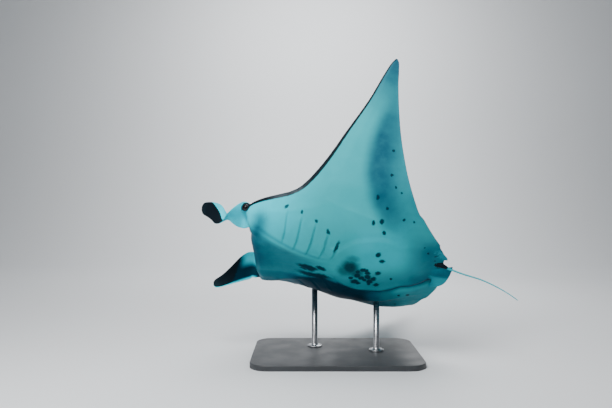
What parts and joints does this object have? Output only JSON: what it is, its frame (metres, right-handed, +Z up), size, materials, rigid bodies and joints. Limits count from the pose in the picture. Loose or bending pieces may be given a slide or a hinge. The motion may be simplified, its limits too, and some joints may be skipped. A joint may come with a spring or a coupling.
{
  "type": "manta ray",
  "caption": "Life-size manta ray in mid wing beat, banking with its pale belly shown, wings raised, head fins unfurled, tail trailing, held on rods over a flat display base.",
  "frame": {"origin": "middle of the underside of the stand's base, on the floor", "axes": "+Z up; the ray's head points along -X and its tail along +X; its belly and the picture's camera are on the -Y side; its left wing rises along +Z and its right wing reaches along +Y"},
  "size_m": [2.0605, 1.5861, 2.0637],
  "materials": {
    "skin": "satin skin, pale belly and near-black back, painted by position",
    "eye": "wet gloss",
    "stand_board": "matt paint",
    "stand_steel": "brushed"
  },
  "bodies": {
    "root": {"head": "skin", "trunk": "skin", "left_pectoral_fin": "skin", "right_pectoral_fin": "skin", "left_cephalic_fin": "skin", "right_cephalic_fin": "skin", "left_pelvic_fin": "skin", "right_pelvic_fin": "skin", "dorsal_fin": "skin", "tail_root": "skin", "tail_middle": "skin", "tail_tip": "skin", "left_eye": "eye", "right_eye": "eye", "stand_base": "stand_board", "stand_rod_front": "stand_steel", "stand_rod_rear": "stand_steel"}
  },
  "joints": []
}
